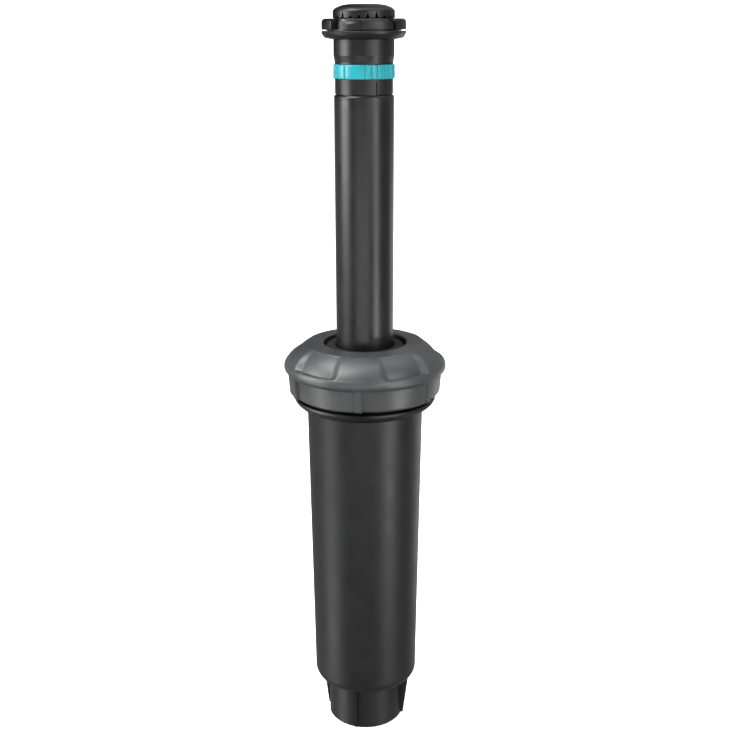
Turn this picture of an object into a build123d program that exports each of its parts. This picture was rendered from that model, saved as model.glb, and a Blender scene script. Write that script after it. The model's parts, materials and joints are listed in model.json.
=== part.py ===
from build123d import *
import math
import os

# Pop-up lawn sprinkler with a rotating multi-stream nozzle, its riser standing fully extended.
# Units are millimetres. The origin is the centre of the inlet socket's lower face, and +Z is the
# axis that every turned part shares. The front of the object faces -Y. Angles called "bearing" are
# measured about that axis from the front (-Y) towards +X.

os.makedirs("parts", exist_ok=True)

# ---- driving dimensions --------------------------------------------------------------------------
TOP = 255.5                 # highest point of the deflector, riser extended
CLEAR = 0.3                 # radial gap between parts that move past each other
ARC_MID = 1 - math.sqrt(0.5)    # where a quarter round's middle lies, as a share of its radius

# inlet socket and case
SOCKET_R = 13.5
SOCKET_TOP = 16.5
SOCKET_EDGE = 0.6
THREAD_MINOR_R = 9.32       # wall of the half-inch female pipe thread
THREAD_DEPTH = 15.5
WAY_IN_R = 8.2              # opening from the socket into the case
FIN_COUNT = 4
FIN_BEARING = -14.5
FIN_T = 1.1
FIN_LOW = 0.8
FIN_R_LOW = 14.3
FIN_R_HIGH = 16.4
CASE_R_LOW = 18.5
CASE_TURN = 3.6             # radius that turns the case's wall in under its floor
CASE_R_HIGH = 20.1
CASE_FLOOR = 21.0
CASE_WALL = 2.25
FLANGE_LOW = 121.8
FLANGE_R = 24.5
FLANGE_TOP = 125.3
FLANGE_LIP = 0.7            # upright edge of the flange
FLANGE_SWELL = (2.9, 1.0)   # how far its underside bulges, outwards and upwards
NECK_R = 20.9
NECK_TOP = 139.0
RETAINER_SEAT = 137.4
SEAT_R = 18.9
RIB_COUNT = 6
RIB_T = 2.0
RIB_R = 15.0
RIB_LOW = CASE_FLOOR + 1.5
RIB_HIGH = 134.4
RIB_LEAD = (1.5, 2.0)       # slope at a rib's upper end that leads the ratchet ring in
ROOT = 0.8                  # how far fins and ribs run into the wall that carries them

# cap
CAP_HOLE_R = 14.2
CAP_TOP = 144.5
CAP_R = 28.0
CAP_BASE = 126.9
CAP_BORE_R = 22.0
CAP_CEILING = 141.1
CEILING_CHAMFER = 1.7
CAP_LEAD = 0.6              # chamfer at the mouth of the cap's bore
SCOOP_COUNT = 5
SCOOP_BEARING = -40.4       # middle of one shoulder scoop
FACET_COUNT = 6
FACET_BEARING = -4.6
FACET_ARC = 5.0
PANEL_DEPTH = 1.15          # step beside each facet of the skirt
PANEL_MIDDLE = 0.3          # share of that depth left halfway along a panel

# seals
GASKET_T = 1.3
SEAL_FIT = 0.25             # radial gap between the retainer and its seat
SEAL_TOP = 143.6
SEAL_R = 13.4
SEAL_LIP_R = 9.95
RETAINER_R = 10.6
RETAINER_STEP_R = 14.6
RETAINER_T = 1.4
RETAINER_TOP = NECK_TOP + 0.4
SEAL_FLANGE_R = 18.4

# riser
RISER_R = 9.75
RISER_BORE_R = 7.85
RISER_TOP = 227.5
RISER_NECK_R = RISER_R - 0.55   # where the tube's rounded upper end meets its top face
FOOT_LOW = 122.5
FOOT_TOP = 125.3
FOOT_R = 13.4
TOOTH_COUNT = 24
TOOTH_H = 0.6
RATCHET_LOW = 125.45
RATCHET_TOP = 128.0
RATCHET_R = 15.5
RATCHET_BORE_R = RISER_R + 0.35
COLLAR_R = 11.2             # collar on the ratchet ring that centres the spring
COLLAR_TOP = RATCHET_TOP + 1.2

# retraction spring, fully compressed while the riser is up
WIRE_R = 0.6
COIL_R = 12.3
COIL_PITCH = 1.35
COIL_TURNS = 6

# nozzle
SPIGOT_LOW = 217.0
SPIGOT_R = 7.7
SKIRT_R = 9.4
SKIRT_LOW = 227.8
RING_LOW = 232.4
RING_TOP = 237.2
RING_R = 9.95
GUIDE_R = 8.6
GUIDE_BORE_R = 7.3
NECK_FOOT_R = 9.45
NECK_TUBE_R = 9.8
NECK_TAPER = (RING_TOP + 0.5, RING_TOP + 2.6)
DISH_LOW = 244.7
DISH_TOP = 247.3
DISH_R = 13.6
DISH_UNDER = (1.2, 0.45)    # where the dish's rounded edge begins, inwards and upwards
DISH_EDGE = (0.45, 1.2)     # a point on that edge
BORE_R = 7.4
ARC_LOW = 247.7
ARC_TOP = 251.1
ARC_R = 13.55
ARC_BORE_R = 11.15
WINDOW = (-49.0, 48.0)      # bearings of the arc ring's opening
BLOCK = (-2.5, 46.5)        # bearings of the stop block inside the opening
RAMP = (-34.0, -2.5)        # bearings of the ramp beside it
RAMP_FACE_R = 12.35
RAMP_R = 10.85
RAMP_LOW = 243.5            # foot of the fixed arc ramp inside the neck
RAMP_SEAT = 249.0
ARC_FOOT_R = 10.3
ARC_FOOT_TOP = 248.7
TURN_R = 9.95               # outside radius of the deflector
TURN_LOW = 251.25
TURN_WALL_TOP = 253.4       # where the deflector's wall turns over into its crown
CROWN_R = 8.3
SHAFT_R = 1.0
FLUTE_COUNT = 22
CHAMBER_R = 5.6
CHAMBER_LOW = 250.6
CHAMBER_TOP = 254.0
SHAFT_TOP = 253.6
ROTOR_LOW = 251.0
ROTOR_TOP = 252.9


# ---- helpers -------------------------------------------------------------------------------------
def side_plane(bearing):
    """Plane through the axis whose local x points outwards at a bearing and local y points up."""
    angle = math.radians(bearing - 90)
    outward = Vector(math.cos(angle), math.sin(angle), 0)
    return Plane(origin=(0, 0, 0), x_dir=outward, z_dir=outward.cross(Vector(0, 0, 1)))


def turned(points, bearing=0.0, arc=360.0):
    """Solid made by turning a closed outline of (radius, height) points about the axis."""
    with BuildPart(mode=Mode.PRIVATE) as work:
        with BuildSketch(side_plane(bearing)):
            with BuildLine():
                Polyline(*points, close=True)
            make_face()
        revolve(axis=Axis.Z, revolution_arc=arc)
    return work.part


def flat_point(radius, bearing):
    """Plan coordinates of a point at a radius and bearing."""
    angle = math.radians(bearing - 90)
    return radius * math.cos(angle), radius * math.sin(angle)


def tube(outer, inner, low, high):
    """Outline of a plain tube."""
    return [(inner, low), (outer, low), (outer, high), (inner, high)]


def finish(piece, name):
    """Label a finished piece and write its file."""
    piece.part.label = name
    export_step(piece.part, f"parts/{name}.step")


def bore_r(height):
    """Inside radius of the drafted case wall at a height."""
    share = (height - CASE_FLOOR) / (FLANGE_LOW - CASE_FLOOR)
    return CASE_R_LOW - CASE_WALL + share * (CASE_R_HIGH - CASE_R_LOW)


# ---- case ----------------------------------------------------------------------------------------
with BuildPart() as case_body:
    with BuildSketch(Plane.XZ):
        with BuildLine():
            Polyline(
                (THREAD_MINOR_R, 0),
                (SOCKET_R - SOCKET_EDGE, 0),
                (SOCKET_R, SOCKET_EDGE),
                (SOCKET_R, SOCKET_TOP),
                (CASE_R_LOW - CASE_TURN, SOCKET_TOP),
            )
            ThreePointArc(
                (CASE_R_LOW - CASE_TURN, SOCKET_TOP),
                (CASE_R_LOW - ARC_MID * CASE_TURN, SOCKET_TOP + ARC_MID * CASE_TURN),
                (CASE_R_LOW, SOCKET_TOP + CASE_TURN),
            )
            Line((CASE_R_LOW, SOCKET_TOP + CASE_TURN), (CASE_R_HIGH, FLANGE_LOW))
            ThreePointArc(
                (CASE_R_HIGH, FLANGE_LOW),
                (CASE_R_HIGH + FLANGE_SWELL[0], FLANGE_LOW + FLANGE_SWELL[1]),
                (FLANGE_R, FLANGE_TOP - FLANGE_LIP),
            )
            Polyline(
                (FLANGE_R, FLANGE_TOP - FLANGE_LIP),
                (FLANGE_R - 0.3, FLANGE_TOP),
                (NECK_R, FLANGE_TOP),
                (NECK_R, NECK_TOP - 0.5),
                (NECK_R - 0.5, NECK_TOP),
                (SEAT_R, NECK_TOP),
                (SEAT_R, RETAINER_SEAT),
                (bore_r(FLANGE_LOW), RETAINER_SEAT),
                (bore_r(FLANGE_LOW), FLANGE_LOW),
                (bore_r(CASE_FLOOR), CASE_FLOOR),
                (WAY_IN_R, CASE_FLOOR),
                (WAY_IN_R, THREAD_DEPTH),
                (THREAD_MINOR_R, THREAD_DEPTH),
                (THREAD_MINOR_R, 0),
            )
        make_face()
    revolve(axis=Axis.Z)
    # gusset fins between the socket and the case's floor
    for k in range(FIN_COUNT):
        with BuildSketch(side_plane(FIN_BEARING + k * 360 / FIN_COUNT)):
            with BuildLine():
                Polyline(
                    (SOCKET_R - ROOT, FIN_LOW),
                    (FIN_R_LOW, FIN_LOW),
                    (FIN_R_HIGH, SOCKET_TOP + ROOT),
                    (SOCKET_R - ROOT, SOCKET_TOP + ROOT),
                    close=True,
                )
            make_face()
        extrude(amount=FIN_T / 2, both=True)
    # ribs inside the case that stop the ratchet ring from turning
    for k in range(RIB_COUNT):
        with BuildSketch(side_plane(k * 360 / RIB_COUNT)):
            with BuildLine():
                Polyline(
                    (RIB_R, RIB_LOW),
                    (bore_r(CASE_FLOOR) + ROOT, RIB_LOW),
                    (bore_r(FLANGE_LOW) + ROOT, FLANGE_LOW),
                    (bore_r(FLANGE_LOW) + ROOT, RIB_HIGH),
                    (RIB_R + RIB_LEAD[0], RIB_HIGH),
                    (RIB_R, RIB_HIGH - RIB_LEAD[1]),
                    close=True,
                )
            make_face()
        extrude(amount=RIB_T / 2, both=True)
finish(case_body, "case_body")

# ---- cap: a screwed collar with scooped shoulders and a stepped grip skirt -----------------------
SHOULDER_IN = (20.1, 144.25)
SHOULDER_MID = (24.2, 142.05)
SHOULDER_OUT = (27.3, 138.3)
RIM_MID = (27.8, 137.35)
RIM_TOP = 136.2
LIP = 135.6
SKIRT_TOP = 134.4
SKIRT_TOP_R = 27.0
SKIRT_BASE_R = 26.45
SCOOP_DEPTH = 0.7           # below the straight line between the shoulder's ends
SCOOP_RAISE = 1.3           # the cutter starts this far outside that line
SCOOP_WIDE = 7.9            # half widths of a scoop at its lower and upper ends
SCOOP_NARROW = 5.9
SCOOP_UPPER = 0.42          # reach of a scoop up and down from the middle, as shares of its slope
SCOOP_LOWER = 0.47
SCOOP_TILT = 3.5            # degrees by which a scoop deepens towards the rim
SCOOP_WALL_TAPER = 32
SCOOP_CORNER = 1.3
BASE_ROUND = 0.9


def scoop(bearing):
    """Cutter for one shoulder scoop: a flat-bottomed pocket with sloping walls."""
    run = SHOULDER_OUT[0] - SHOULDER_IN[0]
    drop = SHOULDER_IN[1] - SHOULDER_OUT[1]
    length = math.hypot(run, drop)
    angle = math.radians(bearing - 90)
    outward = Vector(math.cos(angle), math.sin(angle), 0)
    across = Vector(-math.sin(angle), math.cos(angle), 0)
    normal = (outward * drop + Vector(0, 0, run)) * (1 / length)
    middle = outward * (SHOULDER_IN[0] + run / 2) + Vector(0, 0, SHOULDER_IN[1] - drop / 2)
    plane = Plane(origin=middle + normal * SCOOP_RAISE, x_dir=across, z_dir=normal)
    plane = plane.rotated((SCOOP_TILT, 0, 0))
    with BuildPart(mode=Mode.PRIVATE) as cutter:
        with BuildSketch(plane):
            with BuildLine():
                Polyline(
                    (-SCOOP_NARROW, SCOOP_UPPER * length),
                    (-SCOOP_WIDE, -SCOOP_LOWER * length),
                    (SCOOP_WIDE, -SCOOP_LOWER * length),
                    (SCOOP_NARROW, SCOOP_UPPER * length),
                    close=True,
                )
            make_face()
            fillet(vertices(), SCOOP_CORNER)
        extrude(amount=-SCOOP_RAISE - SCOOP_DEPTH, taper=SCOOP_WALL_TAPER)
    return cutter.part


with BuildPart() as cap:
    with BuildSketch(Plane.XZ):
        with BuildLine():
            Polyline(
                (CAP_HOLE_R, CAP_CEILING),
                (CAP_HOLE_R, CAP_TOP - 0.3),
                (CAP_HOLE_R + 0.3, CAP_TOP),
                SHOULDER_IN,
            )
            ThreePointArc(SHOULDER_IN, SHOULDER_MID, SHOULDER_OUT)
            ThreePointArc(SHOULDER_OUT, RIM_MID, (CAP_R, RIM_TOP))
            Polyline((CAP_R, RIM_TOP), (CAP_R - 0.1, LIP), (SKIRT_TOP_R, SKIRT_TOP))
            Line((SKIRT_TOP_R, SKIRT_TOP), (SKIRT_BASE_R, CAP_BASE + BASE_ROUND))
            ThreePointArc(
                (SKIRT_BASE_R, CAP_BASE + BASE_ROUND),
                (SKIRT_BASE_R - ARC_MID * BASE_ROUND, CAP_BASE + ARC_MID * BASE_ROUND),
                (SKIRT_BASE_R - BASE_ROUND, CAP_BASE),
            )
            Polyline(
                (SKIRT_BASE_R - BASE_ROUND, CAP_BASE),
                (CAP_BORE_R + CAP_LEAD, CAP_BASE),
                (CAP_BORE_R, CAP_BASE + CAP_LEAD),
                (CAP_BORE_R, CAP_CEILING - CEILING_CHAMFER),
                (CAP_BORE_R - CEILING_CHAMFER, CAP_CEILING),
                (CAP_HOLE_R, CAP_CEILING),
            )
        make_face()
    revolve(axis=Axis.Z)
    # scooped finger recesses round the shoulder
    for k in range(SCOOP_COUNT):
        add(scoop(SCOOP_BEARING + k * 360 / SCOOP_COUNT), mode=Mode.SUBTRACT)
    # saw-tooth grip panels round the skirt, each starting in a step beside a narrow facet
    for k in range(FACET_COUNT):
        first = FACET_BEARING + FACET_ARC / 2 + k * 360 / FACET_COUNT
        last = first + 360 / FACET_COUNT - FACET_ARC
        middle = (first + last) / 2
        far = CAP_R + 3.0
        near = [
            flat_point(SKIRT_TOP_R - PANEL_DEPTH, first),
            flat_point(SKIRT_TOP_R - PANEL_MIDDLE * PANEL_DEPTH, middle),
            flat_point(SKIRT_TOP_R, last),
        ]
        with BuildSketch(Plane.XY.offset(CAP_BASE - 0.5)):
            with BuildLine():
                ThreePointArc(*near)
                Line(near[2], flat_point(far, last))
                ThreePointArc(flat_point(far, last), flat_point(far, middle), flat_point(far, first))
                Line(flat_point(far, first), near[0])
            make_face()
        extrude(amount=SKIRT_TOP - CAP_BASE + 0.5, mode=Mode.SUBTRACT)
finish(cap, "cap")

# ---- seals under the cap -------------------------------------------------------------------------
with BuildPart() as cap_gasket:
    add(turned(tube(NECK_R - 0.3, SEAT_R + SEAL_FIT, NECK_TOP, NECK_TOP + GASKET_T)))
finish(cap_gasket, "cap_gasket")

with BuildPart() as seal_retainer:
    add(turned([
        (RETAINER_R, RETAINER_SEAT),
        (SEAT_R - SEAL_FIT, RETAINER_SEAT),
        (SEAT_R - SEAL_FIT, RETAINER_TOP),
        (RETAINER_STEP_R, RETAINER_TOP),
        (RETAINER_STEP_R, RETAINER_SEAT + RETAINER_T),
        (RETAINER_R, RETAINER_SEAT + RETAINER_T),
    ]))
finish(seal_retainer, "seal_retainer")

with BuildPart() as wiper_seal:
    add(turned([
        (RETAINER_R, RETAINER_SEAT + RETAINER_T + 0.1),
        (RETAINER_STEP_R - 0.2, RETAINER_SEAT + RETAINER_T + 0.1),
        (RETAINER_STEP_R - 0.2, RETAINER_TOP + 0.1),
        (SEAL_FLANGE_R, RETAINER_TOP + 0.1),
        (SEAL_FLANGE_R, CAP_CEILING - 0.2),
        (SEAL_R, CAP_CEILING - 0.2),
        (SEAL_R, SEAL_TOP - 0.5),
        (SEAL_R - 0.5, SEAL_TOP),
        (SEAL_LIP_R + 0.55, SEAL_TOP),
        (SEAL_LIP_R, SEAL_TOP - 0.5),
        (SEAL_LIP_R, SEAL_TOP - 1.1),
        (SEAL_LIP_R + 0.95, SEAL_TOP - 1.8),
    ]))
finish(wiper_seal, "wiper_seal")

# ---- retraction spring ---------------------------------------------------------------------------
with BuildPart() as retraction_spring:
    coil_low = RATCHET_TOP + 0.05 + WIRE_R
    with BuildLine(Plane.XY.offset(coil_low)) as coil:
        Helix(pitch=COIL_PITCH, height=COIL_PITCH * COIL_TURNS, radius=COIL_R)
    with BuildSketch(Plane(coil.line @ 0, z_dir=coil.line % 0)):
        Circle(WIRE_R)
    sweep(path=coil.line, is_frenet=True)
finish(retraction_spring, "retraction_spring")

# ---- ratchet ring and riser ----------------------------------------------------------------------
TOOTH_IN = 10.7
TOOTH_OUT = 12.9
TOOTH_W = 1.3


def ratchet_teeth(foot, spread):
    """Ring of radial V teeth standing on a level, each widened by spread on every flank."""
    teeth = []
    for k in range(TOOTH_COUNT):
        angle = math.radians(k * 360 / TOOTH_COUNT)
        outward = Vector(math.cos(angle), math.sin(angle), 0)
        plane = Plane(origin=outward * TOOTH_IN + Vector(0, 0, foot), x_dir=(0, 0, 1), z_dir=outward)
        with BuildPart(mode=Mode.PRIVATE) as tooth:
            with BuildSketch(plane):
                with BuildLine():
                    Polyline(
                        (-0.2, -TOOTH_W / 2 - spread),
                        (TOOTH_H + spread, 0),
                        (-0.2, TOOTH_W / 2 + spread),
                        close=True,
                    )
                make_face()
            extrude(amount=TOOTH_OUT - TOOTH_IN)
        teeth.append(tooth.part)
    return teeth


with BuildPart() as ratchet_ring:
    add(turned([
        (RATCHET_BORE_R, RATCHET_LOW),
        (RATCHET_R, RATCHET_LOW),
        (RATCHET_R, RATCHET_TOP),
        (COLLAR_R, RATCHET_TOP),
        (COLLAR_R, COLLAR_TOP),
        (RATCHET_BORE_R, COLLAR_TOP),
    ]))
    # notches that ride on the case's ribs
    for k in range(RIB_COUNT):
        with BuildSketch(side_plane(k * 360 / RIB_COUNT)):
            with Locations((RATCHET_R + 0.6, (RATCHET_LOW + RATCHET_TOP) / 2)):
                Rectangle(3.0, 4.0)
        extrude(amount=RIB_T / 2 + 0.4, both=True, mode=Mode.SUBTRACT)
    for groove in ratchet_teeth(FOOT_TOP, 0.15):
        add(groove, mode=Mode.SUBTRACT)
finish(ratchet_ring, "ratchet_ring")

with BuildPart() as riser_tube:
    with BuildSketch(Plane.XZ):
        with BuildLine():
            Polyline(
                (RISER_BORE_R, FOOT_LOW),
                (FOOT_R, FOOT_LOW),
                (FOOT_R, FOOT_TOP),
                (RISER_R, FOOT_TOP),
                (RISER_R, RISER_TOP - 1.2),
            )
            ThreePointArc(
                (RISER_R, RISER_TOP - 1.2),
                (RISER_R - 0.12, RISER_TOP - 0.4),
                (RISER_NECK_R, RISER_TOP),
            )
            Polyline(
                (RISER_NECK_R, RISER_TOP),
                (RISER_BORE_R, RISER_TOP),
                (RISER_BORE_R, FOOT_LOW),
            )
        make_face()
    revolve(axis=Axis.Z)
    for tooth in ratchet_teeth(FOOT_TOP, 0.0):
        add(tooth)
finish(riser_tube, "riser_tube")

# ---- filter inside the riser ---------------------------------------------------------------------
CAGE_LOW = 172.0
CAGE_R = 7.1
CAGE_WALL = 0.8
CAGE_RIM_LOW = SPIGOT_LOW - 2.0
CAGE_RIM_R = RISER_BORE_R - 0.1
OPENING_ROWS = 3
OPENING_PITCH = 13.0
OPENING = (3.0, 4.6, 10.0)
with BuildPart() as filter_basket:
    add(turned([
        (0, CAGE_LOW),
        (CAGE_R, CAGE_LOW),
        (CAGE_R, CAGE_RIM_LOW),
        (CAGE_RIM_R, CAGE_RIM_LOW),
        (CAGE_RIM_R, SPIGOT_LOW),
        (CAGE_R - CAGE_WALL, SPIGOT_LOW),
        (CAGE_R - CAGE_WALL, CAGE_LOW + 1.2),
        (0, CAGE_LOW + 1.2),
    ]))
    for row in range(OPENING_ROWS):
        with Locations((0, 0, CAGE_LOW + 8.5 + row * OPENING_PITCH)):
            with PolarLocations(CAGE_R, 6):
                Box(*OPENING, mode=Mode.SUBTRACT)
finish(filter_basket, "filter_basket")

SCREEN_R = CAGE_R - CAGE_WALL - 0.05
SCREEN_T = 0.25
with BuildPart() as filter_screen:
    add(turned(tube(SCREEN_R, SCREEN_R - SCREEN_T, CAGE_LOW + 1.25, SPIGOT_LOW - 0.1)))
finish(filter_screen, "filter_screen")

# ---- nozzle base: spigot, snap skirt, port plate and ring guide ----------------------------------
PORT_PLATE_LOW = 229.3
PORT_PLATE_TOP = 231.2
PORT_COUNT = 3
PORT_ARC = 55.0
PORT_IN = 2.2
PORT_OUT = 6.0
RANGE_TRAVEL = 60.0         # turn that takes the throttle from open to shut
LUG_BEARING = 150.0
LUG_ARC = 8.0
LUG_LOW = 234.2
LUG_TOP = 235.7
TAB_START = -57.0
TAB_ARC = 82.0
SLIT_ARC = 2.0
SPIGOT_BORE_R = 6.4
ORING_Z = 223.0
ORING_GROOVE = 0.7          # half the groove's height
ORING_FLOOR_R = 6.9
ORING_WIRE_R = 0.42


def ports(low, high):
    """The sector openings shared by the fixed port plate and the throttle disc."""
    return [
        turned(tube(PORT_OUT, PORT_IN, low, high), k * 360 / PORT_COUNT, PORT_ARC)
        for k in range(PORT_COUNT)
    ]


with BuildPart() as nozzle_base:
    add(turned([
        (SPIGOT_BORE_R, SPIGOT_LOW),
        (SPIGOT_R, SPIGOT_LOW),
        (SPIGOT_R, ORING_Z - ORING_GROOVE),
        (ORING_FLOOR_R, ORING_Z - ORING_GROOVE),
        (ORING_FLOOR_R, ORING_Z + ORING_GROOVE),
        (SPIGOT_R, ORING_Z + ORING_GROOVE),
        (SPIGOT_R, RISER_TOP),
        (GUIDE_R, RISER_TOP),
        (GUIDE_R, SKIRT_LOW),
        (SKIRT_R, SKIRT_LOW),
        (SKIRT_R, RING_LOW),
        (GUIDE_R, RING_LOW),
        (GUIDE_R, RING_TOP),
        (GUIDE_BORE_R, RING_TOP),
        (GUIDE_BORE_R, PORT_PLATE_TOP),
        (0, PORT_PLATE_TOP),
        (0, PORT_PLATE_LOW),
        (SPIGOT_BORE_R, PORT_PLATE_LOW),
    ]))
    for port in ports(PORT_PLATE_LOW - 1, PORT_PLATE_TOP + 1):
        add(port, mode=Mode.SUBTRACT)
    # slits that free the three snap tabs of the skirt
    for k in range(3):
        for edge in (TAB_START, TAB_START + TAB_ARC):
            slit = turned(tube(SKIRT_R + 0.5, SKIRT_R - 0.45, SKIRT_LOW - 0.1, RING_LOW - 0.8), 0, SLIT_ARC)
            add(slit.rotate(Axis.Z, edge - SLIT_ARC / 2 + k * 120), mode=Mode.SUBTRACT)
    # slot through the guide wall for the throttle's lug, open at the top
    slot_arc = RANGE_TRAVEL + LUG_ARC + 4.0
    slot = turned(tube(GUIDE_R + 1, GUIDE_BORE_R - 1, LUG_LOW - 0.2, RING_TOP + 1), 0, slot_arc)
    add(slot.rotate(Axis.Z, LUG_BEARING - LUG_ARC / 2 - 2.0), mode=Mode.SUBTRACT)
finish(nozzle_base, "nozzle_base")

with BuildPart() as nozzle_oring:
    with BuildSketch(Plane.XZ):
        with Locations((ORING_FLOOR_R + ORING_WIRE_R + 0.02, ORING_Z)):
            Circle(ORING_WIRE_R)
    revolve(axis=Axis.Z)
finish(nozzle_oring, "nozzle_oring")

# ---- range ring and the throttle disc that it turns ----------------------------------------------
GROOVE_BEARINGS = [-60.5 + 22.2 * k for k in range(2)] + [2.7 + 11.05 * k for k in range(5)]
GROOVE_SETS = 3
GROOVE_CUT_R = 0.75
RING_GAP = 0.12
RING_EDGE = 0.4
THROTTLE_R = GUIDE_BORE_R - CLEAR
THROTTLE_LOW = PORT_PLATE_TOP + 0.1
THROTTLE_PLATE = PORT_PLATE_TOP + 1.6
with BuildPart() as range_ring:
    add(turned([
        (GUIDE_R + CLEAR, RING_LOW + RING_GAP),
        (RING_R - RING_EDGE, RING_LOW + RING_GAP),
        (RING_R, RING_LOW + RING_GAP + RING_EDGE),
        (RING_R, RING_TOP - RING_GAP - RING_EDGE),
        (RING_R - RING_EDGE, RING_TOP - RING_GAP),
        (GUIDE_R + CLEAR, RING_TOP - RING_GAP),
    ]))
    # vertical finger grooves, repeated in three sets round the ring
    for turn in range(GROOVE_SETS):
        for bearing in GROOVE_BEARINGS:
            with BuildSketch(Plane.XY.offset(RING_LOW)):
                with Locations(flat_point(RING_R + 0.5, bearing + turn * 360 / GROOVE_SETS)):
                    Circle(GROOVE_CUT_R)
            extrude(amount=RING_TOP - RING_LOW, mode=Mode.SUBTRACT)
    # pocket that the throttle's lug drives
    pocket = turned(tube(RING_R - 0.5, GUIDE_R, RING_LOW, LUG_TOP + 0.2), 0, LUG_ARC + 2.0)
    add(pocket.rotate(Axis.Z, LUG_BEARING - LUG_ARC / 2 - 1.0), mode=Mode.SUBTRACT)
finish(range_ring, "range_ring")

with BuildPart() as throttle_disc:
    add(turned([
        (0, THROTTLE_LOW),
        (THROTTLE_R, THROTTLE_LOW),
        (THROTTLE_R, RING_TOP - 0.7),
        (THROTTLE_R - 1.0, RING_TOP - 0.7),
        (THROTTLE_R - 1.0, THROTTLE_PLATE),
        (0, THROTTLE_PLATE),
    ]))
    for port in ports(PORT_PLATE_TOP - 1, PORT_PLATE_TOP + 3):
        add(port, mode=Mode.SUBTRACT)
    lug = turned(tube(RING_R - 0.7, THROTTLE_R - 0.4, LUG_LOW, LUG_TOP), 0, LUG_ARC)
    add(lug.rotate(Axis.Z, LUG_BEARING - LUG_ARC / 2))
finish(throttle_disc, "throttle_disc")

# ---- nozzle neck with its dished flange ----------------------------------------------------------
with BuildPart() as nozzle_neck:
    with BuildSketch(Plane.XZ):
        with BuildLine():
            Polyline(
                (BORE_R, RING_TOP),
                (NECK_FOOT_R, RING_TOP),
                (NECK_FOOT_R, NECK_TAPER[0]),
                (NECK_TUBE_R, NECK_TAPER[1]),
                (NECK_TUBE_R, DISH_LOW),
                (DISH_R - DISH_UNDER[0], DISH_LOW + DISH_UNDER[1]),
            )
            ThreePointArc(
                (DISH_R - DISH_UNDER[0], DISH_LOW + DISH_UNDER[1]),
                (DISH_R - DISH_EDGE[0], DISH_LOW + DISH_EDGE[1]),
                (DISH_R, DISH_TOP - 0.15),
            )
            Polyline(
                (DISH_R, DISH_TOP - 0.15),
                (DISH_R - 0.15, DISH_TOP),
                (BORE_R, DISH_TOP),
                (BORE_R, RING_TOP),
            )
        make_face()
    revolve(axis=Axis.Z)
finish(nozzle_neck, "nozzle_neck")

# ---- core that carries the deflector's shaft -----------------------------------------------------
CORE_LOW = 238.5
CORE_TOP = 248.2
CORE_R = 4.4
STEM_R = 2.4
CONE_LOW = 243.5
with BuildPart() as nozzle_core:
    add(turned([
        (SHAFT_R, CORE_LOW),
        (STEM_R, CORE_LOW),
        (STEM_R, CONE_LOW),
        (CORE_R, CONE_LOW + CORE_R - STEM_R),
        (CORE_R, CORE_TOP - 0.4),
        (CORE_R - 0.4, CORE_TOP),
        (SHAFT_R, CORE_TOP),
    ]))
    add(turned(tube(BORE_R - 0.05, 6.5, CORE_LOW, CORE_LOW + 3.0)))
    for k in range(3):
        with BuildSketch(side_plane(60 + k * 120)):
            with Locations((CORE_R, CORE_LOW + 1.5)):
                Rectangle(4.6, 2.6)
        extrude(amount=0.5, both=True)
finish(nozzle_core, "nozzle_core")

# ---- arc ramp: the fixed half of the arc slot ----------------------------------------------------
with BuildPart() as arc_ramp:
    add(turned([
        (5.8, RAMP_LOW),
        (BORE_R - 0.05, RAMP_LOW),
        (BORE_R - 0.05, DISH_TOP),
        (10.0, DISH_TOP),
        (10.0, RAMP_SEAT),
        (RAMP_R, RAMP_SEAT),
        (RAMP_R, 250.9),
        (RAMP_R - 0.1, 251.0),
        (10.2, 251.0),
        (9.9, 250.55),
        (6.4, 248.45),
        (5.8, 248.45),
    ]))
    # helical step that meets the water at the start of the arc
    with BuildSketch(side_plane(-2)):
        with Locations((9.4, 251.2)):
            Rectangle(1.4, 1.4)
    extrude(amount=0.8, both=True, mode=Mode.SUBTRACT)
finish(arc_ramp, "arc_ramp")

# ---- arc ring: turned by hand to set the watered sector ------------------------------------------
with BuildPart() as arc_ring:
    add(turned([
        (ARC_FOOT_R, DISH_TOP + 0.1),
        (12.0, DISH_TOP + 0.1),
        (12.0, ARC_LOW),
        (ARC_R - 0.25, ARC_LOW),
        (ARC_R, ARC_LOW + 0.25),
        (ARC_R, ARC_TOP - 1.0),
        (ARC_R - 0.4, ARC_TOP - 0.4),
        (ARC_R - 1.0, ARC_TOP),
        (ARC_BORE_R, ARC_TOP),
        (ARC_BORE_R, ARC_FOOT_TOP),
        (ARC_FOOT_R, ARC_FOOT_TOP),
    ]))
    gap = tube(ARC_R + 1, ARC_BORE_R - 0.1, ARC_LOW, ARC_TOP + 1)
    add(turned(gap, WINDOW[0], WINDOW[1] - WINDOW[0]), mode=Mode.SUBTRACT)
    add(turned([
        (ARC_BORE_R, ARC_LOW - 0.1),
        (13.0, ARC_LOW),
        (13.0, ARC_TOP - 0.6),
        (12.5, ARC_TOP - 0.1),
        (ARC_BORE_R, ARC_TOP - 0.1),
    ], BLOCK[0], BLOCK[1] - BLOCK[0]))
    add(turned([
        (ARC_BORE_R, ARC_LOW - 0.1),
        (RAMP_FACE_R, ARC_LOW - 0.1),
        (RAMP_FACE_R, ARC_TOP - 1.6),
        (RAMP_FACE_R - 0.7, ARC_TOP - 0.6),
        (ARC_BORE_R, ARC_TOP - 0.6),
    ], RAMP[0], RAMP[1] - RAMP[0]))
finish(arc_ring, "arc_ring")

# ---- rotating deflector and its viscous brake ----------------------------------------------------
HUB_LOW = 248.6
HUB_BORE_R = 2.3
LID_R = 6.2
FLUTE_SLOPE = 29.0
FLUTE_W = 1.15
FLUTE_BEARING = -41.8
FLUTE_RUN = 4.2
FLUTE_LEAN = 0.6            # sideways offset that slants the flutes


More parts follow.
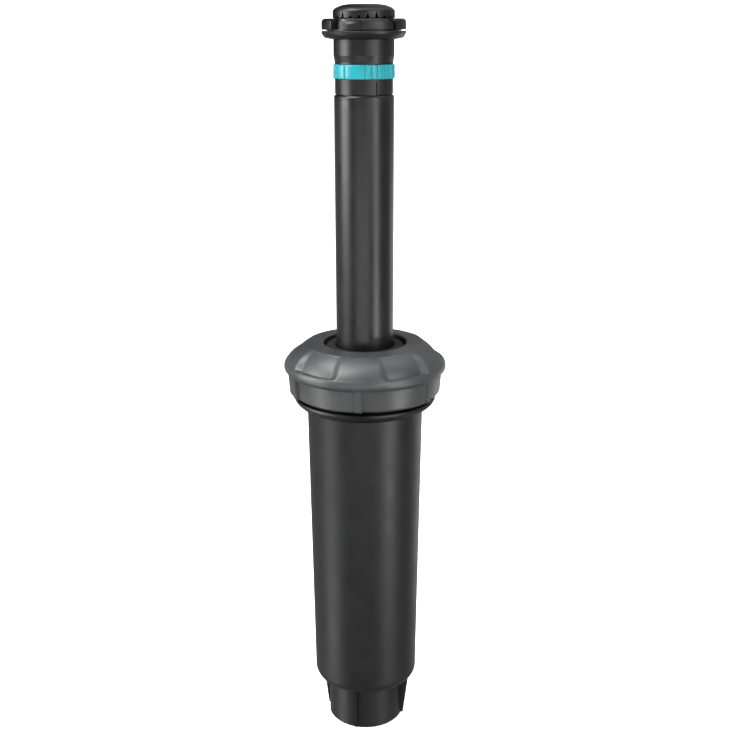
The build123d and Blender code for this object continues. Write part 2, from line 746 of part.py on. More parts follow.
def flute(index):
    """Cutter for one flute: a V channel that runs up and out under the deflector."""
    height = {0: 2.0, 3: 1.6}.get(index % 4, 1.2)
    angle = math.radians(FLUTE_BEARING - 90 + index * 360 / FLUTE_COUNT)
    slope = math.radians(FLUTE_SLOPE)
    outward = Vector(math.cos(angle), math.sin(angle), 0)
    across = Vector(-math.sin(angle), math.cos(angle), 0)
    up = Vector(0, 0, 1)
    start = outward * (TURN_R + 0.4) + across * FLUTE_LEAN + up * (TURN_LOW + 0.2)
    inward = (outward * math.cos(slope) + up * math.sin(slope)) * -1
    with BuildPart(mode=Mode.PRIVATE) as cutter:
        with BuildSketch(Plane(origin=start, x_dir=across, z_dir=inward)):
            with BuildLine():
                Polyline((-FLUTE_W / 2, 0.6), (0, -height), (FLUTE_W / 2, 0.6), close=True)
            make_face()
        extrude(amount=FLUTE_RUN, taper=4)
    return cutter.part


with BuildPart() as deflector:
    with BuildSketch(Plane.XZ):
        with BuildLine():
            Polyline(
                (HUB_BORE_R, HUB_LOW),
                (3.2, HUB_LOW),
                (6.4, 249.4),
                (TURN_R - 0.5, TURN_LOW),
                (TURN_R, TURN_LOW),
                (TURN_R, TURN_WALL_TOP),
            )
            ThreePointArc((TURN_R, TURN_WALL_TOP), (9.3, 254.15), (CROWN_R, 254.6))
            Polyline(
                (CROWN_R, 254.6),
                (6.8, 255.2),
                (LID_R, 255.3),
                (LID_R, CHAMBER_TOP),
                (CHAMBER_R, CHAMBER_TOP),
                (CHAMBER_R, CHAMBER_LOW),
                (HUB_BORE_R, CHAMBER_LOW),
                (HUB_BORE_R, HUB_LOW),
            )
        make_face()
    revolve(axis=Axis.Z)
    for k in range(FLUTE_COUNT):
        add(flute(k), mode=Mode.SUBTRACT)
finish(deflector, "deflector")

with BuildPart() as bearing_bush:
    add(turned(tube(HUB_BORE_R, SHAFT_R + 0.06, HUB_LOW, HUB_LOW + 0.95)))
finish(bearing_bush, "bearing_bush")

with BuildPart() as damper_seal:
    add(turned([
        (SHAFT_R + 0.06, HUB_LOW + 1.1),
        (HUB_BORE_R, HUB_LOW + 1.1),
        (HUB_BORE_R, CHAMBER_LOW),
        (SHAFT_R + 0.5, CHAMBER_LOW),
        (SHAFT_R + 0.06, CHAMBER_LOW - 0.4),
    ]))
finish(damper_seal, "damper_seal")

with BuildPart() as deflector_shaft:
    with BuildSketch(Plane.XY.offset(CORE_LOW)):
        Circle(SHAFT_R)
    extrude(amount=SHAFT_TOP - CORE_LOW)
    chamfer(deflector_shaft.edges().filter_by(GeomType.CIRCLE), 0.15)
finish(deflector_shaft, "deflector_shaft")

with BuildPart() as damper_rotor:
    add(turned(tube(CHAMBER_R - 0.5, SHAFT_R, ROTOR_LOW, ROTOR_TOP)))
    with Locations((0, 0, (ROTOR_LOW + ROTOR_TOP) / 2)):
        with PolarLocations(4.2, 6):
            Box(2.4, 0.7, 2.2, mode=Mode.SUBTRACT)
finish(damper_rotor, "damper_rotor")

with BuildPart() as shaft_clip:
    with BuildSketch(Plane.XY.offset(ROTOR_TOP + 0.05)):
        Circle(2.1)
        Circle(SHAFT_R, mode=Mode.SUBTRACT)
        with Locations((1.6, 0)):
            Rectangle(2.4, 1.2, mode=Mode.SUBTRACT)
    extrude(amount=0.4)
finish(shaft_clip, "shaft_clip")

with BuildPart() as deflector_lid:
    add(turned([
        (0, CHAMBER_TOP),
        (LID_R - 0.05, CHAMBER_TOP),
        (LID_R - 0.05, 255.3),
        (4.9, TOP),
        (4.3, TOP),
        (3.9, 255.2),
        (0, 255.1),
    ]))
    # screwdriver slot used to hold the deflector while the arc is set
    with Locations((0, 0, 255.1)):
        Box(4.6, 0.9, 0.9, mode=Mode.SUBTRACT)
finish(deflector_lid, "deflector_lid")
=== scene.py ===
"""Looks for the pop-up sprinkler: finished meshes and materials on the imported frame.

Outlines are written in millimetres as (radius, height) and turned about the common axis, x = y = 0.
Bearings are degrees about that axis, from the front (-Y) towards +X.
"""
import json
import math
import bpy
import bmesh
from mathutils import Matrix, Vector


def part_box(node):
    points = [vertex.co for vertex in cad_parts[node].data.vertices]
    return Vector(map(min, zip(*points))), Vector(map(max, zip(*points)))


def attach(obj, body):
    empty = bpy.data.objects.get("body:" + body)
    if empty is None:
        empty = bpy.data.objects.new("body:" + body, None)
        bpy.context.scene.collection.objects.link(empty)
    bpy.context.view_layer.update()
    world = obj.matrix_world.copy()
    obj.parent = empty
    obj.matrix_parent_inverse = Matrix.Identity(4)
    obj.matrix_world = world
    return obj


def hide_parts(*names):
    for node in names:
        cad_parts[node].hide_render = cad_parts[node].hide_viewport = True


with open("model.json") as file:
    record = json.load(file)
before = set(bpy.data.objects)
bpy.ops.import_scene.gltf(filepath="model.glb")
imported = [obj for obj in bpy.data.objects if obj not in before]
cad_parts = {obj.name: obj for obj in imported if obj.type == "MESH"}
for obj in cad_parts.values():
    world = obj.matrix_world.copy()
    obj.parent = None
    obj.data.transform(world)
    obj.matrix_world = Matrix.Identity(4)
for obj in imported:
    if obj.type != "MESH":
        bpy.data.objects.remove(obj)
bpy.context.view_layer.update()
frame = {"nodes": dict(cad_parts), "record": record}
NODES = frame["nodes"]
MM = 0.001
SEGMENTS = 360              # facets of a full turn, unless a piece asks for its own


# ---- places read from the frame, in millimetres ------------------------------------------------------
def low(node):
    """Lowest height of a CAD node."""
    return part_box(node)[0][2] / MM


def high(node):
    """Highest height of a CAD node."""
    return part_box(node)[1][2] / MM


def radius(node):
    """Outside radius of a round CAD node."""
    return (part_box(node)[1][0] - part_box(node)[0][0]) / 2 / MM


# ---- small maths ---------------------------------------------------------------------------------------
def smooth(edge0, edge1, x):
    """Smooth step from 0 at edge0 to 1 at edge1."""
    t = max(0.0, min(1.0, (x - edge0) / (edge1 - edge0)))
    return t * t * (3 - 2 * t)


def ramp(edge0, edge1, x):
    """Straight step from 0 at edge0 to 1 at edge1."""
    return max(0.0, min(1.0, (x - edge0) / (edge1 - edge0)))


def wrap(angle, period=360.0):
    """Angle brought to within half a period of zero."""
    return (angle + period / 2) % period - period / 2


def rounded(outline, steps=5):
    """Outline with its corners rounded: a corner (r, z, fillet) becomes an arc."""
    points = []
    count = len(outline)
    for i, corner in enumerate(outline):
        here = Vector(corner[:2])
        fillet = corner[2] if len(corner) > 2 else 0.0
        if fillet <= 0:
            points.append((here.x, here.y))
            continue
        back = Vector(outline[i - 1][:2]) - here
        on = Vector(outline[(i + 1) % count][:2]) - here
        half = back.angle(on) / 2
        reach = min(fillet / math.tan(half), 0.49 * back.length, 0.49 * on.length)
        size = reach * math.tan(half)
        centre = here + (back.normalized() + on.normalized()).normalized() * (size / math.sin(half))
        first = here + back.normalized() * reach - centre
        last = here + on.normalized() * reach - centre
        sweep = first.angle_signed(last)
        for k in range(steps + 1):
            turn = -sweep * k / steps
            c, s = math.cos(turn), math.sin(turn)
            points.append((centre.x + first.x * c - first.y * s, centre.y + first.x * s + first.y * c))
    return points


# ---- mesh building ---------------------------------------------------------------------------------------
WELD = 1e-5                 # points closer than this, in millimetres, become one


def add_mesh(name, bm):
    """A new object in the scene with the shape of a bmesh, which is used up."""
    mesh = bpy.data.meshes.new(name)
    bm.to_mesh(mesh)
    bm.free()
    obj = bpy.data.objects.new(name, mesh)
    bpy.context.scene.collection.objects.link(obj)
    return obj


def make_object(name, bm, material, body, stands_for=(), crease=32.0):
    """Turn a bmesh in millimetres into a finished piece that rides on a body."""
    bmesh.ops.remove_doubles(bm, verts=bm.verts, dist=WELD)
    bmesh.ops.recalc_face_normals(bm, faces=bm.faces)
    bmesh.ops.scale(bm, vec=(MM, MM, MM), verts=bm.verts)
    obj = add_mesh(name, bm)
    obj.data.shade_smooth()
    obj.data.set_sharp_from_angle(angle=math.radians(crease))
    obj.data.materials.append(material)
    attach(obj, body)
    if stands_for:
        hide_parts(*stands_for)
    return obj


def at(r, z, bearing):
    """Point at a radius, height and bearing."""
    angle = math.radians(bearing - 90)
    return (r * math.cos(angle), r * math.sin(angle), z)


def add_turned(bm, points, relief=None, arc=None, segments=SEGMENTS):
    """Add a closed outline turned about the axis, all round or over an arc of bearings.

    A relief takes a point's radius, height and bearing, and gives its finished radius and height.
    """
    full = arc is None
    start, stop = (0.0, 360.0) if full else arc
    count = segments if full else max(2, math.ceil(segments * (stop - start) / 360))
    columns = count if full else count + 1
    rings = []
    for r, z in points:
        ring = []
        for j in range(columns):
            bearing = start + (stop - start) * j / count
            spot = relief(r, z, bearing) if relief else (r, z)
            ring.append(bm.verts.new(at(*spot, bearing)))
        rings.append(ring)
    for i in range(len(points)):
        a, b = rings[i], rings[(i + 1) % len(points)]
        for j in range(count):
            k = (j + 1) % columns
            bm.faces.new((a[j], a[k], b[k], b[j]))
    if not full:
        bm.faces.new([ring[0] for ring in rings])
        bm.faces.new([ring[-1] for ring in reversed(rings)])


# ---- materials -------------------------------------------------------------------------------------------
def node(tree, kind, **settings):
    """Add a shader node; input values are given as name=value with spaces as underscores."""
    made = tree.nodes.new(kind)
    for key, value in settings.items():
        if hasattr(made, key):
            setattr(made, key, value)
        else:
            made.inputs[key.replace("_", " ")].default_value = value
    return made


CLOUD_SCALE = 110.0         # noise cells per metre: the faint clouding, and the fine texture of the mould
PIT_SCALE = 2600.0
PIT_DEPTH = 0.00006         # metres
GLOSS_SPREAD = 0.05


def plastic(name, colour, rough, grain=1.0, tone=0.25, specular=0.5):
    """Moulded plastic: fine texture from the mould, faint flow clouding and uneven gloss."""
    material = bpy.data.materials.new(name)
    material.use_nodes = True
    tree = material.node_tree
    shader = tree.nodes["Principled BSDF"]
    shader.inputs["Specular IOR Level"].default_value = specular
    place = node(tree, "ShaderNodeTexCoord")
    clouds = node(tree, "ShaderNodeTexNoise", Scale=CLOUD_SCALE, Detail=4.0, Roughness=0.55)
    pits = node(tree, "ShaderNodeTexNoise", Scale=PIT_SCALE, Detail=3.0, Roughness=0.6)
    for texture in (clouds, pits):
        tree.links.new(place.outputs["Object"], texture.inputs["Vector"])
    tint = node(tree, "ShaderNodeValToRGB")
    dark = [c * (1 - tone) for c in colour]
    light = [c * (1 + tone) for c in colour]
    tint.color_ramp.elements[0].position = 0.3
    tint.color_ramp.elements[0].color = (*dark, 1)
    tint.color_ramp.elements[1].position = 0.7
    tint.color_ramp.elements[1].color = (*light, 1)
    tree.links.new(clouds.outputs["Fac"], tint.inputs["Fac"])
    tree.links.new(tint.outputs["Color"], shader.inputs["Base Color"])
    gloss = node(tree, "ShaderNodeMapRange", From_Min=0.3, From_Max=0.7,
                 To_Min=rough - GLOSS_SPREAD, To_Max=rough + GLOSS_SPREAD)
    tree.links.new(clouds.outputs["Fac"], gloss.inputs["Value"])
    tree.links.new(gloss.outputs["Result"], shader.inputs["Roughness"])
    bump = node(tree, "ShaderNodeBump", Strength=0.18 * grain, Distance=PIT_DEPTH)
    tree.links.new(pits.outputs["Fac"], bump.inputs["Height"])
    tree.links.new(bump.outputs["Normal"], shader.inputs["Normal"])
    return material


def steel(name, colour, rough):
    """Stainless steel, with the same fine texture in a weaker form."""
    material = plastic(name, colour, rough, grain=0.6, tone=0.12)
    material.node_tree.nodes["Principled BSDF"].inputs["Metallic"].default_value = 1.0
    return material


CASE = plastic("case_black", (0.0036, 0.0037, 0.0039), 0.43, grain=1.2, specular=0.36)
RISER = plastic("riser_black", (0.0046, 0.0047, 0.0049), 0.32, grain=0.6, specular=0.38)
HEAD = plastic("nozzle_black", (0.0038, 0.0039, 0.0041), 0.37, grain=0.6, specular=0.35)
RAMP = plastic("ramp_black", (0.020, 0.021, 0.022), 0.28, grain=0.4, specular=0.45)
GREY = plastic("cap_grey", (0.037, 0.0380, 0.0392), 0.40, grain=1.2, tone=0.08, specular=0.54)
TURQUOISE = plastic("ring_turquoise", (0.003, 0.270, 0.310), 0.34, grain=0.5, tone=0.06, specular=0.50)
RUBBER = plastic("seal_rubber", (0.013, 0.0133, 0.0137), 0.60, grain=1.8, specular=0.3)
INNER = plastic("inner_acetal", (0.045, 0.045, 0.048), 0.4)
BUSH = plastic("bush_acetal", (0.55, 0.53, 0.49), 0.38, tone=0.05)
SPRING = steel("spring_steel", (0.55, 0.55, 0.56), 0.28)
SCREEN = steel("screen_steel", (0.48, 0.48, 0.49), 0.45)
SHAFT = steel("shaft_steel", (0.62, 0.62, 0.63), 0.2)

BY_SLOT = {
    "case_plastic": CASE,
    "cap_plastic": GREY,
    "rubber": RUBBER,
    "inner_plastic": INNER,
    "seal_rubber": RUBBER,
    "spring_steel": SPRING,
    "riser_plastic": RISER,
    "screen_steel": SCREEN,
    "nozzle_plastic": HEAD,
    "turquoise_plastic": TURQUOISE,
    "ramp_plastic": RAMP,
    "deflector_plastic": HEAD,
    "bush_plastic": BUSH,
    "shaft_steel": SHAFT,
}


def dress_cad_nodes():
    """Give every CAD node the material of its slot."""
    for part in frame["record"]["subparts"]:
        mesh = NODES[part["node"]].data
        mesh.materials.clear()
        mesh.materials.append(BY_SLOT[part["material_slot"]])


# ---- cap -------------------------------------------------------------------------------------------------
CAP_HIGH = high("cap")
CAP_LOW = low("cap")
CAP_R = radius("cap")
CAP_BORE = CAP_R - 6.0
CAP_SEGMENTS = 960
CEILING = CAP_HIGH - 3.4
CEILING_BEVEL = 1.7
HOLE_R = 14.2
SHOULDER = ((20.1, CAP_HIGH - 0.25), (24.2, CAP_HIGH - 2.45), (27.3, CAP_HIGH - 6.2))
RIM_MID = (27.8, CAP_HIGH - 7.15)
RIM = (CAP_R, CAP_HIGH - 8.3)
LIP = (CAP_R - 0.1, CAP_HIGH - 8.9)
SKIRT_HIGH = (CAP_R - 1.0, CAP_LOW + 7.5)
SKIRT_LOW = (CAP_R - 1.55, CAP_LOW + 0.9)
SCOOPS = 5
SCOOP_BEARING = -40.4
SCOOP_FLOOR = 14.3          # half widths of a scoop, in degrees, at its floor and at its edge
SCOOP_EDGE = 21.8
SCOOP_DEPTH = 1.6           # at the end of the shoulder
SCOOP_GROWTH = 0.62         # power by which it deepens on the way down
SCOOP_CORNER = (0.70, 1.06)     # where its lower corners draw in and where it closes, as shares of
SCOOP_END = (0.96, 1.06)        # the way down the shoulder
CORNER_IN = 4.0             # degrees by which a lower corner draws in
LEAN_TOP = 52.0             # degrees below level in which a scoop is sunk, at its top and at its end
LEAN_END = 18.0
FACETS = 6
FACET_BEARING = -4.9
FACET_ARC = 5.0             # degrees of the plain rib between two panels
PANEL_STEP = 1.05           # a panel's depth beside one rib, its least depth and its rise to the next rib
PANEL_LEAST = 0.10
PANEL_FALL = 0.38


def arc_through(a, b, c, count):
    """Points of the arc from a through b to c, both ends included."""
    ax, ay, bx, by, cx, cy = *a, *b, *c
    d = 2 * (ax * (by - cy) + bx * (cy - ay) + cx * (ay - by))
    aa, bb, cc = ax * ax + ay * ay, bx * bx + by * by, cx * cx + cy * cy
    ux = (aa * (by - cy) + bb * (cy - ay) + cc * (ay - by)) / d
    uy = (aa * (cx - bx) + bb * (ax - cx) + cc * (bx - ax)) / d
    size = math.dist((ux, uy), a)
    first = math.atan2(ay - uy, ax - ux)
    turn = wrap(math.degrees(math.atan2(cy - uy, cx - ux) - first))
    return [
        (ux + size * math.cos(first + math.radians(turn) * k / count),
         uy + size * math.sin(first + math.radians(turn) * k / count))
        for k in range(count + 1)
    ]


def line(a, b, count):
    """Points from a to b, the last one left out."""
    return [(a[0] + (b[0] - a[0]) * k / count, a[1] + (b[1] - a[1]) * k / count) for k in range(count)]


def scoop_depth(share, off):
    """Depth of a shoulder scoop at a share of the way down the shoulder and degrees off its middle."""
    corner = ramp(*SCOOP_CORNER, share)
    narrowing = CORNER_IN * (1 - math.sqrt(1 - corner * corner))
    side = 1 - smooth(SCOOP_FLOOR - narrowing, SCOOP_EDGE - narrowing, off)
    return SCOOP_DEPTH * max(0.0, share) ** SCOOP_GROWTH * side * (1 - smooth(*SCOOP_END, share))


def cap_relief(r, z, bearing):
    """Scoops on the cap's shoulder and sunk panels round its skirt, deeper beside one rib than the next."""
    if r > SHOULDER[0][0] - 0.01 and z > RIM[1]:
        share = (SHOULDER[0][1] - z) / (SHOULDER[0][1] - SHOULDER[2][1])
        off = abs(wrap(bearing - SCOOP_BEARING, 360 / SCOOPS))
        depth = scoop_depth(share, off)
        lean = math.radians(LEAN_TOP + (LEAN_END - LEAN_TOP) * smooth(0.1, 1.0, share))
        return r - depth * math.cos(lean), z - depth * math.sin(lean)
    if r > SKIRT_LOW[0] - 1.0 and z < SKIRT_HIGH[1] - 0.02:
        q = (bearing - FACET_BEARING - FACET_ARC / 2) % (360 / FACETS)
        span = 360 / FACETS - FACET_ARC
        if q < span:
            share = q / span
            depth = PANEL_STEP * (1 - share) ** 1.8 + PANEL_LEAST + PANEL_FALL * share ** 6
            r -= depth * smooth(0.0, 0.6, q) * smooth(0.0, 0.4, span - q)
    return r, z


def make_cap():
    """The grey screw cap."""
    first = (SHOULDER[0][0], SHOULDER[0][1] + 0.01)
    points = rounded([(HOLE_R, CEILING), (HOLE_R, CAP_HIGH, 0.4), first])[:-1]
    points += line(points[-1], SHOULDER[0], 4)[1:]
    points += arc_through(*SHOULDER, 40)
    points += arc_through(SHOULDER[2], RIM_MID, RIM, 12)[1:]
    points += rounded([RIM, (*LIP, 0.25), SKIRT_HIGH])[1:-1]
    panel_top = (SKIRT_HIGH[0], SKIRT_HIGH[1] - 0.08)
    points += [SKIRT_HIGH] + line(panel_top, SKIRT_LOW, 16)
    points += arc_through(SKIRT_LOW, (SKIRT_LOW[0] - 0.26, CAP_LOW + 0.26), (SKIRT_LOW[0] - 0.9, CAP_LOW), 6)
    points += [(CAP_BORE + 0.6, CAP_LOW), (CAP_BORE, CAP_LOW + 0.6)]
    points += [(CAP_BORE, CEILING - CEILING_BEVEL), (CAP_BORE - CEILING_BEVEL, CEILING)]
    bm = bmesh.new()
    add_turned(bm, points, cap_relief, segments=CAP_SEGMENTS)
    make_object("cap_shell", bm, GREY, "cap", ["cap"], 40.0)


# ---- screw threads ---------------------------------------------------------------------------------------
STEPS_PER_TURN = 96
FADE_STEPS = 14             # steps over which a ridge grows from its least size at either end
LEAST_FADE = 0.03
RIDGE_BASE = 0.40           # half widths of a ridge as shares of the pitch, and how far its foot is sunk
RIDGE_TIP = 0.12
RIDGE_SUNK = 0.15
PIPE_PITCH = 1.814
CAP_PITCH = 3.0


def make_thread(name, root_r, crest_r, first, last, pitch, material, body, phase=0.0):
    """A helical ridge of rounded trapezoid section that fades out at both ends."""
    bm = bmesh.new()
    turns = (last - first) / pitch
    steps = int(turns * STEPS_PER_TURN)
    base, tip = RIDGE_BASE * pitch, RIDGE_TIP * pitch
    sunk = root_r + (root_r - crest_r) * RIDGE_SUNK
    rows = []
    for k in range(steps + 1):
        fade = smooth(0, FADE_STEPS, min(k, steps - k)) * (1 - LEAST_FADE) + LEAST_FADE
        crest = root_r + (crest_r - root_r) * fade
        z = first + (last - first) * k / steps
        bearing = phase + 360 * turns * k / steps
        section = ((sunk, z - base * fade), (crest, z - tip * fade),
                   (crest, z + tip * fade), (sunk, z + base * fade))
        rows.append([bm.verts.new(at(*spot, bearing)) for spot in section])
    for a, b in zip(rows, rows[1:]):
        for i in range(4):
            j = (i + 1) % 4
            bm.faces.new((a[i], a[j], b[j], b[i]))
    bm.faces.new(rows[0])
    bm.faces.new(list(reversed(rows[-1])))
    make_object(name, bm, material, body)


INLET_R = frame["record"]["mounts"][0]["dims"]["r_mm"]
INLET_DEPTH = frame["record"]["mounts"][0]["dims"]["length_mm"]
NECK_R = 20.9


def make_threads():
    """Half-inch pipe thread in the inlet, and the cap's thread on the case's neck and in the cap."""
    make_thread("inlet_thread", INLET_R + 0.02, INLET_R - 0.35, 1.6, INLET_DEPTH - 1.2, PIPE_PITCH,
                CASE, "case")
    top = high("case_body")
    make_thread("neck_thread", NECK_R, NECK_R + 0.75, top - 11.0, top - 2.4, CAP_PITCH,
                CASE, "case", 20.0)
    make_thread("cap_thread", CAP_BORE, CAP_BORE - 0.8, CAP_LOW + 2.0, CAP_LOW + 11.0, CAP_PITCH,
                GREY, "cap", -52.0)


# ---- nozzle ----------------------------------------------------------------------------------------------
RING_R = radius("range_ring")
RING_LOW = low("range_ring")
RING_HIGH = high("range_ring")
GROOVES = [-60.5, -38.3] + [2.7 + 11.05 * k for k in range(5)]
GROOVE_SETS = 3
GROOVE_DEPTH = 0.34
GROOVE_HALF = (0.4, 2.8)    # degrees off a groove's middle where its floor ends and where its wall ends
RING_WALL = 1.05
FLUTES = 22
FLUTE_BEARING = -41.8
FLUTE_HEIGHTS = (2.0, 0.85, 0.8, 1.35)      # in turn round the deflector
FLUTE_HALF = 0.50           # half width at the wall
FLUTE_SLANT = 5.0           # degrees a flute would turn between the wall and the axis


def ring_relief(r, z, bearing):
    """Finger grooves of the range ring."""
    if r < RING_R - 0.45:
        return r, z
    period = 360 / GROOVE_SETS
    off = min(abs(wrap(bearing - groove, period)) for groove in GROOVES)
    return r - GROOVE_DEPTH * (1 - smooth(*GROOVE_HALF, off)), z


def make_range_ring():
    """The turquoise ring that sets the throwing range."""
    inner = RING_R - RING_WALL
    outline = [(inner, RING_LOW), (RING_R, RING_LOW, 0.45), (RING_R, RING_HIGH, 0.45), (inner, RING_HIGH)]
    bm = bmesh.new()
    add_turned(bm, rounded(outline, 6), ring_relief, segments=720)
    make_object("range_collar", bm, TURQUOISE, "range_control", ["range_ring"], 50.0)


TURRET_R = radius("deflector")
TURRET_HIGH = high("deflector")
TURRET_LOW = low("deflector")
RIM_LOW = TURRET_LOW + 2.65
WALL_HIGH = TURRET_HIGH - 1.9
HUB_R = 6.4
BORE_R = 2.3


def flute_height(r, bearing):
    """Height of the V flutes under the deflector at a radius and bearing."""
    slant = FLUTE_SLANT * (TURRET_R - r) / TURRET_R
    pitch = 360 / FLUTES
    turn = (bearing - FLUTE_BEARING - slant + pitch / 2) % 360
    off = abs(turn % pitch - pitch / 2) * math.radians(1) * r
    half = FLUTE_HALF * r / TURRET_R
    peak = FLUTE_HEIGHTS[int(turn // pitch) % len(FLUTE_HEIGHTS)]
    return peak * max(0.0, 1 - (off / half) ** 1.5) * smooth(6.5, 9.0, r)


def turret_relief(r, z, bearing):
    """Lift the deflector's underside into flutes; the wall above them closes up."""
    if r < HUB_R or z > WALL_HIGH or (r < 8.0 and z > WALL_HIGH - 0.3):
        return r, z
    share = 0.0 if z <= RIM_LOW else (z - RIM_LOW) / (WALL_HIGH - RIM_LOW)
    lift = min(flute_height(r, bearing), WALL_HIGH - 0.1 - RIM_LOW)
    return r, z + lift * (1 - share)


def make_deflector():
    """The rotating deflector, with slanted flutes round its underside."""
    bottom = TURRET_LOW
    shoulder = (8.2, TURRET_HIGH - 0.6)
    wall_low = (TURRET_R, RIM_LOW + 0.12)
    wall_high = (TURRET_R, WALL_HIGH)
    lid_seat = TURRET_HIGH - 1.3
    points = [(BORE_R, bottom), (3.2, bottom), (HUB_R, bottom + 0.8)]
    points += line((HUB_R, bottom + 0.8), (TURRET_R - 0.35, RIM_LOW - 0.02), 16)[1:]
    points += [(TURRET_R - 0.1, RIM_LOW), wall_low]
    points += line(wall_low, wall_high, 5)[1:]
    points += arc_through(wall_high, (TURRET_R - 0.62, TURRET_HIGH - 1.15), shoulder, 8)
    points += arc_through(shoulder, (7.3, TURRET_HIGH - 0.22), (6.35, TURRET_HIGH), 5)[1:]
    points += [(6.2, TURRET_HIGH - 0.06), (6.2, lid_seat), (5.6, lid_seat)]
    points += [(5.6, bottom + 2.0), (BORE_R, bottom + 2.0)]
    bm = bmesh.new()
    add_turned(bm, points, turret_relief, segments=FLUTES * 48)
    make_object("turret_shell", bm, HEAD, "turret", ["deflector"], 38.0)


RINGS_LOW = low("arc_ring")
RINGS_HIGH = high("arc_ring")
ARC_R = radius("arc_ring")
SILL = RINGS_HIGH - 3.4
WINDOW = (-49.0, 48.0)      # bearings of the opening, of the stop block in it and of the ramp
BLOCK = (-2.5, 46.5)
BLOCK_ROUND = 31.0          # bearing at which the block's top begins to fall, and how far it falls
BLOCK_FALL = 1.9
SLOPE = (-34.0, -2.5)
SLOPE_RISE = 1.0
ARC_BORE = 11.15
FOOT_BORE = 10.3
EDGE_ROUND = 0.14


def round_edges(obj):
    """Break the sharp edges of a piece with small rounds."""
    modifier = obj.modifiers.new("edges", "BEVEL")
    modifier.width = EDGE_ROUND * MM
    modifier.segments = 3
    modifier.limit_method = "ANGLE"
    modifier.angle_limit = math.radians(35.0)
    modifier.harden_normals = True


def slope_relief(r, z, bearing):
    """Slope the top of the ramp: lowest at its free end, highest at the block."""
    share = (bearing - SLOPE[0]) / (SLOPE[1] - SLOPE[0])
    if z > SILL + 1.5 and r > 12.0:
        z -= 0.10 + SLOPE_RISE * (1 - share)
    return r, z


def block_relief(r, z, bearing):
    """The stop block's top falls away in a round at its far end."""
    share = max(0.0, (bearing - BLOCK_ROUND) / (BLOCK[1] - BLOCK_ROUND))
    drop = BLOCK_FALL * (1 - math.sqrt(max(0.0, 1 - share * share)))
    return r, SILL + (z - SILL) * (1 - drop / (RINGS_HIGH - SILL))


def make_arc_ring():
    """The ring that sets the watered sector: a collar with a stop block and a ramp in its window."""
    bm = bmesh.new()
    foot = [(FOOT_BORE, RINGS_LOW), (12.0, RINGS_LOW), (12.0, SILL), (ARC_BORE, SILL),
            (ARC_BORE, SILL + 0.9), (FOOT_BORE, SILL + 0.9)]
    add_turned(bm, foot, segments=240)
    collar = rounded([
        (ARC_BORE, SILL), (ARC_R, SILL, 0.3), (ARC_R, RINGS_HIGH, 1.4), (ARC_BORE, RINGS_HIGH),
    ], 6)
    add_turned(bm, collar, arc=(WINDOW[1], WINDOW[0] + 360))
    block_r = ARC_R - 0.55
    block_high = RINGS_HIGH - 0.35
    block = rounded([
        (ARC_BORE, SILL), (block_r, SILL, 0.2), (block_r, block_high, 0.7), (ARC_BORE, block_high),
    ], 6)
    add_turned(bm, block, block_relief, arc=BLOCK)
    wedge = [(ARC_BORE, SILL), (ARC_R - 1.2, SILL), (ARC_R - 1.2, RINGS_HIGH - 1.0),
             (ARC_R - 1.85, RINGS_HIGH - 0.9), (ARC_BORE, RINGS_HIGH - 0.9)]
    add_turned(bm, wedge, slope_relief, arc=SLOPE)
    recess_r = ARC_R - 2.1
    recess_high = RINGS_HIGH - 0.8
    recess = [(ARC_BORE, SILL), (recess_r, SILL), (recess_r, recess_high), (ARC_BORE, recess_high)]
    add_turned(bm, recess, arc=(WINDOW[0] - 1, SLOPE[0] + 1))
    ring = make_object("arc_collar", bm, HEAD, "arc_control", ["arc_ring"], 35.0)
    round_edges(ring)


# ---- stage: floor, light and camera ----------------------------------------------------------------
EYE_BACK = 0.3853           # camera's distance in front of the axis
EYE_HEIGHT = 0.2500
EYE_PITCH = 16.5            # degrees below level
EYE_ROLL = 0.18
EYE_SHIFT = 0.0016
LENS = 57.1                 # millimetres on a 36 mm sensor
ROOM_R = 6.0
FLOOR_GLOW = 0.85
WALL_GLOW = 1.2
SURROUND = 0.36


def white_surface(name, glow):
    """Plain pale material of a studio surface that also gives off a little light of its own."""
    material = bpy.data.materials.new(name)
    material.use_nodes = True
    shader = material.node_tree.nodes["Principled BSDF"]
    shader.inputs["Base Color"].default_value = (0.93, 0.93, 0.93, 1)
    shader.inputs["Roughness"].default_value = 0.9
    shader.inputs["Specular IOR Level"].default_value = 0.1
    shader.inputs["Emission Color"].default_value = (1, 1, 1, 1)
    shader.inputs["Emission Strength"].default_value = glow
    return material


def stage_piece(name, bm, glow):
    """A studio surface: seen by the camera, but no source of reflections on the object."""
    obj = add_mesh(name, bm)
    obj.data.materials.append(white_surface(name + "_white", glow))
    obj.visible_glossy = False
    obj.visible_diffuse = False
    obj.visible_shadow = False


def make_stage():
    """A plain white floor and a white wall far round it."""
    bm = bmesh.new()
    bmesh.ops.create_circle(bm, cap_ends=True, segments=96, radius=ROOM_R)
    stage_piece("floor", bm, FLOOR_GLOW)
    bm = bmesh.new()
    bmesh.ops.create_cone(bm, segments=96, radius1=ROOM_R, radius2=ROOM_R, depth=2 * ROOM_R)
    stage_piece("wall", bm, WALL_GLOW)


def make_flag(name, depth, left, right, bottom, top):
    """A dark upright card, out of the camera's sight, that keeps a shine off the faces turned to it."""
    bm = bmesh.new()
    bm.faces.new([bm.verts.new(spot) for spot in (
        (left, depth, bottom), (right, depth, bottom), (right, depth, top), (left, depth, top))])
    flag = add_mesh(name, bm)
    flag.data.materials.append(plastic(name + "_black", (0.010, 0.010, 0.010), 0.9, specular=0.0))
    flag.visible_camera = False
    flag.visible_diffuse = False
    flag.visible_shadow = False


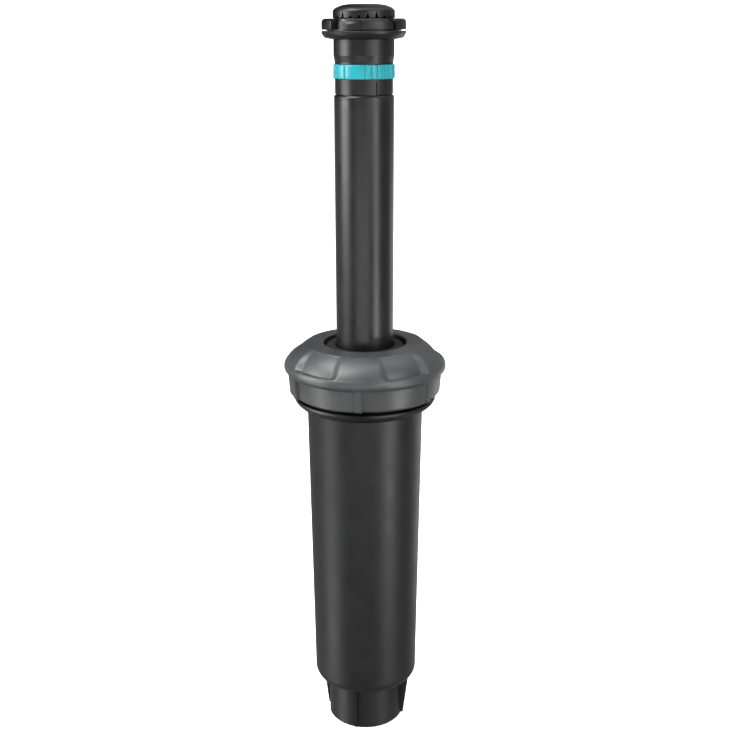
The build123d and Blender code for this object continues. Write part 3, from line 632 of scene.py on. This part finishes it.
def add_lamp(name, width, height, glow, place, target):
    """A light panel of a given brightness, facing a target."""
    light = bpy.data.lights.new(name, "AREA")
    light.shape = "RECTANGLE"
    light.size = width
    light.size_y = height
    light.energy = glow * math.pi * width * height
    lamp = bpy.data.objects.new(name, light)
    bpy.context.scene.collection.objects.link(lamp)
    lamp.location = place
    lamp.rotation_euler = (target - place).to_track_quat("-Z", "Y").to_euler()


def add_panel(name, bearing, distance, bottom, top, width, glow):
    """An upright light panel, facing the axis."""
    middle = (top + bottom) / 2
    add_lamp(name, width, top - bottom, glow, Vector(at(distance, middle, bearing)), Vector((0, 0, middle)))


def add_high_panel(name, bearing, rise, distance, size, glow):
    """A square light panel above the object, aimed at its cap."""
    up = math.radians(rise)
    target = Vector((0, 0, CAP_HIGH * MM))
    towards = Vector(at(math.cos(up), math.sin(up), bearing))
    add_lamp(name, size, size, glow, target + distance * towards, target)


def make_light():
    """Soft studio: an even surround, upright panels to the left and right of the front, and three above."""
    world = bpy.data.worlds.new("studio")
    bpy.context.scene.world = world
    world.use_nodes = True
    surround = world.node_tree.nodes["Background"]
    surround.inputs["Color"].default_value = (1, 1, 1, 1)
    surround.inputs["Strength"].default_value = SURROUND
    add_panel("key_left", -79, 1.0, 0.04, 0.66, 0.58, 9.6)
    add_panel("low_left", -75, 1.0, -0.72, -0.21, 0.48, 4.4)
    add_panel("fill_right", 47, 1.1, -0.04, 1.0, 0.36, 4.6)
    add_panel("low_right", 49, 1.1, -0.37, -0.18, 0.30, 25.0)
    add_panel("high_right", 28, 1.1, 0.20, 0.80, 0.50, 4.0)
    add_panel("rim_right", 138, 1.2, -0.60, 0.05, 0.80, 0.9)
    add_panel("low_front", -8, 1.2, -0.20, 0.04, 1.2, 4.2)
    add_high_panel("key_top", -68, 57, 1.2, 0.75, 11.0)
    add_high_panel("fill_top", 97, 62, 1.2, 0.65, 2.2)
    add_high_panel("overhead", 10, 82, 1.2, 0.50, 3.0)


def set_colours():
    """Plain colour rendering, so that the pale floor and surround stay white."""
    bpy.context.scene.view_settings.view_transform = "Standard"


def make_camera():
    """Camera in front of the object, looking a little down."""
    data = bpy.data.cameras.new("camera")
    data.lens = LENS
    data.sensor_width = 36.0
    data.shift_x = EYE_SHIFT
    camera = bpy.data.objects.new("camera", data)
    bpy.context.scene.collection.objects.link(camera)
    camera.location = (0, -EYE_BACK, EYE_HEIGHT)
    camera.rotation_euler = (math.radians(90 - EYE_PITCH), math.radians(EYE_ROLL), 0)
    bpy.context.scene.camera = camera


dress_cad_nodes()
make_cap()
make_threads()
make_range_ring()
make_deflector()
make_arc_ring()
make_stage()
make_flag("flag_back", 1.5, -2.4, 0.0, 0.12, 1.7)
make_flag("flag_front", -1.2, -0.45, 0.45, 0.20, 1.3)
make_light()
make_camera()
set_colours()
